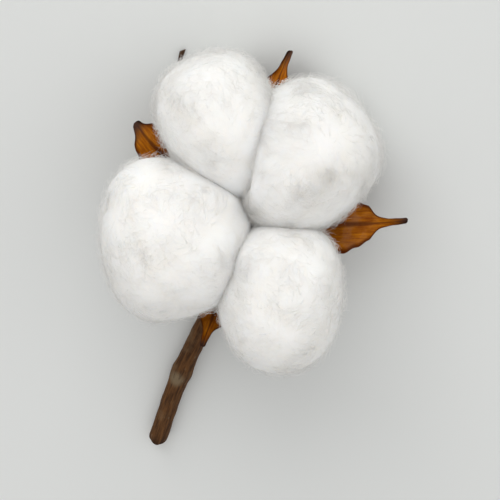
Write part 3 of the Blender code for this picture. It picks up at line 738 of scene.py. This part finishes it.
def bract_grid(bract, number):
    """Rows along a strip, each a ring over its upper and lower skins, with the share out and a leaf place.

    The midline runs outwards and turns with the square of the share; its height does the same, less a
    sine for its sag. The blade's half width is a root of what is left of it, torn by two waves and noise,
    and a bell widens its curled end.
    """
    share = np.linspace(0, 1, BRACT_ROWS)[:, None]
    radius = BRACT_ROOT + (bract.reach - BRACT_ROOT) * share
    azimuth = np.radians(bract.azimuth + (bract.tip_azimuth - bract.azimuth) * share**2)
    height = BRACT_TOP + (bract.tip_height - BRACT_TOP) * share**2
    height = height - BRACT_SAG_SHARE * bract.reach * np.sin(pi * share)
    blade = np.clip(1 - share / BRACT_BLADE_SHARE, 0, 1) ** 0.5
    tear = np.sin(BRACT_TEAR_TURNS[0] * share) * np.cos(BRACT_TEAR_TURNS[1] * share)
    torn = 1 + BRACT_TEAR * tear
    half = BRACT_TOOTH_HALF_WIDTH + (bract.half_width - BRACT_TOOTH_HALF_WIDTH) * blade * torn
    midline = np.stack([radius, 0 * radius, 0 * radius], axis=-1)
    half = half + BRACT_FRAY * ripple(midline, BRACT_FRAY_SCALE, number) * (1 - share)
    half = half + BRACT_CURLED_END * np.exp(-(((1 - share) / BRACT_CURL_SHARE) ** 2))
    over = np.linspace(-1, 1, BRACT_COLUMNS)
    side = np.concatenate([over, over[::-1]])[None, :]
    lower = np.repeat((0, 1), BRACT_COLUMNS)[None, :]
    x = radius * np.cos(azimuth) - side * half * np.sin(azimuth)
    y = radius * np.sin(azimuth) + side * half * np.cos(azimuth)
    skin = BRACT_WALL * (0.5 + (lower - 0.5) * (1 - BRACT_THINNING * side**4))
    z = height - BRACT_FOLD * half * side**2 - skin
    place = np.stack([side * half, radius + 0 * side, lower + number + 0 * radius], axis=-1)
    grids = (np.stack([x, y, z], axis=-1), share + 0 * side, place)
    return [grid.reshape(BRACT_ROWS * 2 * BRACT_COLUMNS, -1) for grid in grids]


bract_paper = dry_leaf_finish("bract_paper", BRACT_PALE, BRACT_DARK, (3200.0, 260.0, 1.0))
for number, bract in enumerate(BRACTS):
    bract_points, bract_out, bract_leaf = bract_grid(bract, number)
    across = 2 * BRACT_COLUMNS
    ends = np.stack([bract_points[:across].mean(axis=0), bract_points[-across:].mean(axis=0)])
    add_piece(
        bract.name + "_leaf", carried(np.concatenate([bract_points, ends])),
        [grid_faces(BRACT_ROWS, across, around=True), end_fans(BRACT_ROWS, across)],
        bract_paper, "calyx", bract.name,
        out=np.append(bract_out[:, 0], (0, 1)),
        leaf=np.concatenate([bract_leaf, bract_leaf[:1], bract_leaf[-1:]]),
    )

# Stem
# The boll's own stalk: a swollen top under the burr, a bend, and a straight run with one node to the slanting
# cut. It is bark over a rod of pale wood, and lies on the table along its underside.

STEM_RADIUS, RECEPTACLE_RADIUS, RECEPTACLE_LENGTH, SWELL_LENGTH = 0.0019, 0.0028, 0.0030, 0.0045
STEM_TOP, NECK_LENGTH, NECK_STEP = 0.0009, 0.0028, -0.0018
STEM_BEND, STEM_NODE = (-0.0012, -0.0077, 0.0021), (-0.0031, -0.0297, 0.0021)
STEM_END = (-0.0030, -0.0457, 0.00178)
NODE_SWELL, NODE_SPREAD, CUT_SLANT = 0.00035, 0.0022, 35.0
RIDGES, RIDGE_DEPTH, RIDGE_TWIST = 5, 0.00005, 70.0
BARK_LUMPS, LUMP_SCALE, LUMP_STRETCH, BARK_SEED = 0.00004, 0.0011, 0.35, 17
SCAR_REACH, SCAR_DEPTH, SCAR_PAST_NODE, SCAR_TURN = 0.0016, 0.00022, 0.0012, 0.42 * pi
STEM_SIDES, STEM_STEPS, CUT_ROWS, CUT_INSET = 72, 60, 9, 0.03


def smooth_path(knots, steps):
    """Points along one smooth curve through the knots, by Catmull-Rom."""
    knots = np.array(knots)
    ends = np.concatenate([[2 * knots[0] - knots[1]], knots, [2 * knots[-1] - knots[-2]]])
    a, b, c, d = (ends[start : len(ends) - 3 + start, None] for start in range(4))
    t = (np.arange(steps) / steps)[None, :, None]
    curve = 0.5 * (2 * b + (c - a) * t + (2 * a - 5 * b + 4 * c - d) * t**2 + (3 * b - a - 3 * c + d) * t**3)
    return np.concatenate([curve.reshape(-1, 3), knots[-1:]])


def stem_grid():
    """The stem's points and faces, with its place on a straight stem, its cut and its scar at each point.

    Rings run along the stem's path and in over its cut. The radius is the rod's, with a smooth swelling at
    the top and a bell at the node, ridges as a cosine of the angle that twists along it, and noise. A leaf
    scar by the node is a bell that is pressed in.
    """
    axis = np.array((0, sin(radians(LEAN)), cos(radians(LEAN))))
    top = BASE - STEM_TOP * axis
    neck = BASE - (STEM_TOP + RECEPTACLE_LENGTH) * axis
    elbow = neck - NECK_LENGTH * axis + np.array((0, NECK_STEP, 0))
    path = smooth_path([top, neck, elbow, STEM_BEND, STEM_NODE, STEM_END], STEM_STEPS)
    run = np.concatenate([[0], np.cumsum(np.linalg.norm(np.diff(path, axis=0), axis=1))])[:, None]
    forward = unit(np.gradient(path, axis=0))
    forward[0] = -axis
    side = unit(np.cross(forward, (0, 0, 1)))
    up = np.cross(side, forward)
    turn = np.linspace(0, 2 * pi, STEM_SIDES, endpoint=False)[None, :]
    round_stem = np.stack([np.cos(turn) + 0 * run, np.sin(turn) + 0 * run], axis=-1)
    from_node = np.linalg.norm(path - STEM_NODE, axis=1)[:, None]
    smooth = STEM_RADIUS + (RECEPTACLE_RADIUS - STEM_RADIUS) * (1 - smoothstep(run / SWELL_LENGTH))
    smooth = smooth + NODE_SWELL * np.exp(-((from_node / NODE_SPREAD) ** 2))
    place = np.concatenate([round_stem * smooth[..., None], (run + 0 * turn)[..., None]], axis=-1)
    ridge = RIDGE_DEPTH * np.cos(RIDGES * turn + RIDGE_TWIST * run) * smoothstep(run / SWELL_LENGTH)
    lumps = BARK_LUMPS * ripple(place * (1, 1, LUMP_STRETCH), LUMP_SCALE, BARK_SEED)
    at_node = run[np.argmin(from_node)]
    scar_angle = np.angle(np.exp(1j * (turn - SCAR_TURN)))
    from_scar = np.hypot(run - at_node - SCAR_PAST_NODE, STEM_RADIUS * scar_angle)
    scar = np.exp(-((from_scar / SCAR_REACH) ** 4))
    radius = smooth + ridge + lumps - SCAR_DEPTH * scar
    around = round_stem * radius[..., None]
    rings = path[:, None] + (side[:, None] * around[..., :1] + up[:, None] * around[..., 1:])
    rings[-1] += forward[-1] * (radius[-1] * np.sin(turn[0]) * tan(radians(CUT_SLANT)))[:, None]
    shares = np.linspace(1, 0, CUT_ROWS + 1)[:-1, None, None] - CUT_INSET
    cut = path[-1] + (rings[-1] - path[-1]) * shares
    rings = np.concatenate([rings, cut])
    rings[..., 2] = np.clip(rings[..., 2], 0, None)
    place = np.concatenate([place, place[-1:] * (shares * (1, 1, 0) + (0, 0, 1))])
    cut_share = np.concatenate([np.full(run.shape, -1.0) + 0 * turn, (1 - shares[..., 0]) + 0 * turn])
    scar = np.concatenate([scar, np.zeros((CUT_ROWS, STEM_SIDES))])
    count = len(rings) * STEM_SIDES
    ends = [rings[0].mean(axis=0), rings[-1].mean(axis=0)]
    points = np.concatenate([rings.reshape(count, 3), ends])
    place = np.concatenate([place.reshape(count, 3), np.zeros((2, 3))])
    faces = [grid_faces(len(rings), STEM_SIDES, around=True), end_fans(len(rings), STEM_SIDES)]
    return points, faces, place, np.append(cut_share.ravel(), (-1, 1)), np.append(scar.ravel(), (0, 0))


def bark_finish():
    """Dry bark, dark and ridged, with pale pores and a grey leaf scar; pale wood with rings at the cut."""
    material, start = new_finish("stem_bark", Specular_IOR_Level=0.16)
    place = start.node("Attribute", {"attribute_name": "place"}, output="Vector")
    cut = start.node("Attribute", {"attribute_name": "cut"}, output="Fac")
    scar = start.node("Attribute", {"attribute_name": "scar"}, output="Fac")
    stretched = start.node("Mapping", None, {"Vector": place, "Scale": (2400.0, 2400.0, 260.0)})
    grain = start.node(
        "TexNoise", None, {"Vector": stretched, "Scale": 1.0, "Detail": 5.0, "Roughness": 0.65}
    )
    patches = start.node("TexNoise", None, {"Vector": place, "Scale": 260.0, "Detail": 3.0})
    pore_place = start.node("Mapping", None, {"Vector": place, "Scale": (620.0, 620.0, 330.0)})
    pores = start.node("TexVoronoi", None, {"Vector": pore_place, "Scale": 1.0}).between(0.15, 0.08)
    bark = grain.between(0.32, 0.68).mix((0.040, 0.015, 0.004), (0.130, 0.056, 0.018))
    bark = (0.5 * patches.between(0.52, 0.74)).mix(bark, (0.165, 0.100, 0.050))
    bark = (0.45 * pores).mix(bark, (0.170, 0.120, 0.075))
    bark = (0.85 * scar * grain.between(0.25, 0.5)).mix(bark, (0.200, 0.150, 0.090))
    rings = start.node("TexNoise", None, {"Vector": place, "Scale": 1900.0, "Detail": 3.0})
    wood = (rings + 0.3 * cut).between(0.35, 0.85).mix((0.330, 0.210, 0.105), (0.520, 0.370, 0.210))
    wood = cut.between(0.80, 0.86).mix(wood, (0.230, 0.120, 0.055))
    wood = cut.between(0.16, 0.04).mix(wood, (0.100, 0.050, 0.022))
    body = cut.between(-0.5, 0.0).mix(bark, wood)
    normal = start.node("Bump", None, {"Strength": 0.7, "Distance": 0.00025, "Height": grain + 0.4 * pores})
    feed(material, Base_Color=body, Roughness=0.55 + 0.35 * grain, Normal=normal)
    return material


stem_points, stem_faces, stem_place, stem_cut, stem_scar = stem_grid()
add_piece(
    "stem_stalk", stem_points, stem_faces, bark_finish(), "bark", "stem",
    place=stem_place, cut=stem_cut, scar=stem_scar,
)

# Table
# A plain pale table top, matte and faintly clouded, wide enough to fill the picture from any side.

TABLE_HALF = 3.0
table_mesh = bpy.data.meshes.new("table")
table_corners = [(x * TABLE_HALF, y * TABLE_HALF, 0) for x, y in ((-1, -1), (1, -1), (1, 1), (-1, 1))]
table_mesh.from_pydata(table_corners, [], [(0, 1, 2, 3)])
table = bpy.data.objects.new("table", table_mesh)
bpy.context.scene.collection.objects.link(table)
table_finish, table_start = new_finish("table_top", Roughness=0.9, Specular_IOR_Level=0.1)
table_place = table_start.node("TexCoord", output="Object")
table_cloud = table_start.node("TexNoise", None, {"Vector": table_place, "Scale": 6.0, "Detail": 2.0})
feed(table_finish, Base_Color=table_cloud.mix((0.715, 0.728, 0.718), (0.735, 0.748, 0.738)))
table_mesh.materials.append(table_finish)

# Camera
# It looks straight into the open face, with the stem running to the lower left as in the photograph.

PICTURE_TURN = 20.4
AIM_BELOW, AIM_HEIGHT = 0.0052, 0.0120
CAMERA_DISTANCE, FRAME_HEIGHT = 0.75, 0.099


def boll_vector(x, y, z):
    """A direction of the boll's own frame in the part's."""
    return Vector(carried(np.array((x, y, z))) - BASE)


turn = radians(PICTURE_TURN)
camera_right = boll_vector(cos(turn), sin(turn), 0)
camera_up = boll_vector(-sin(turn), cos(turn), 0)
camera_back = boll_vector(0, 0, 1)
aim = Vector(BASE) + AIM_HEIGHT * camera_back - AIM_BELOW * camera_up
camera_data = bpy.data.cameras.new("camera")
camera_data.lens = camera_data.sensor_width * CAMERA_DISTANCE / FRAME_HEIGHT
camera = bpy.data.objects.new("camera", camera_data)
facing = Matrix((camera_right, camera_up, camera_back)).transposed().to_4x4()
camera.matrix_world = Matrix.Translation(aim + CAMERA_DISTANCE * camera_back) @ facing
bpy.context.scene.collection.objects.link(camera)
bpy.context.scene.camera = camera

# Light
# Two large soft lamps in a pale room: one over the top left of the picture, as a window, and a weaker and
# broader one to the right, as a bright ceiling.

ROOM_COLOUR, ROOM_STRENGTH = (1.0, 0.995, 0.985, 1), 0.58
Lamp = namedtuple("Lamp", "name right up back size power")
LAMPS = (
    Lamp("window", -0.30, 0.80, 1.10, 1.2, 9.2),
    Lamp("ceiling", 0.35, -0.1, 1.3, 1.6, 5.2),
)
for lamp in LAMPS:
    light = bpy.data.lights.new(lamp.name, "AREA")
    light.size = lamp.size
    light.energy = lamp.power
    lamp_object = bpy.data.objects.new(lamp.name, light)
    way = lamp.right * camera_right + lamp.up * camera_up + lamp.back * camera_back
    towards_boll = way.to_track_quat("Z", "Y").to_matrix().to_4x4()
    lamp_object.matrix_world = Matrix.Translation(aim + way) @ towards_boll
    bpy.context.scene.collection.objects.link(lamp_object)

world = bpy.data.worlds.new("room")
world.use_nodes = True
world.node_tree.nodes["Background"].inputs["Color"].default_value = ROOM_COLOUR
world.node_tree.nodes["Background"].inputs["Strength"].default_value = ROOM_STRENGTH
bpy.context.scene.world = world
bpy.context.scene.view_settings.view_transform = "Standard"
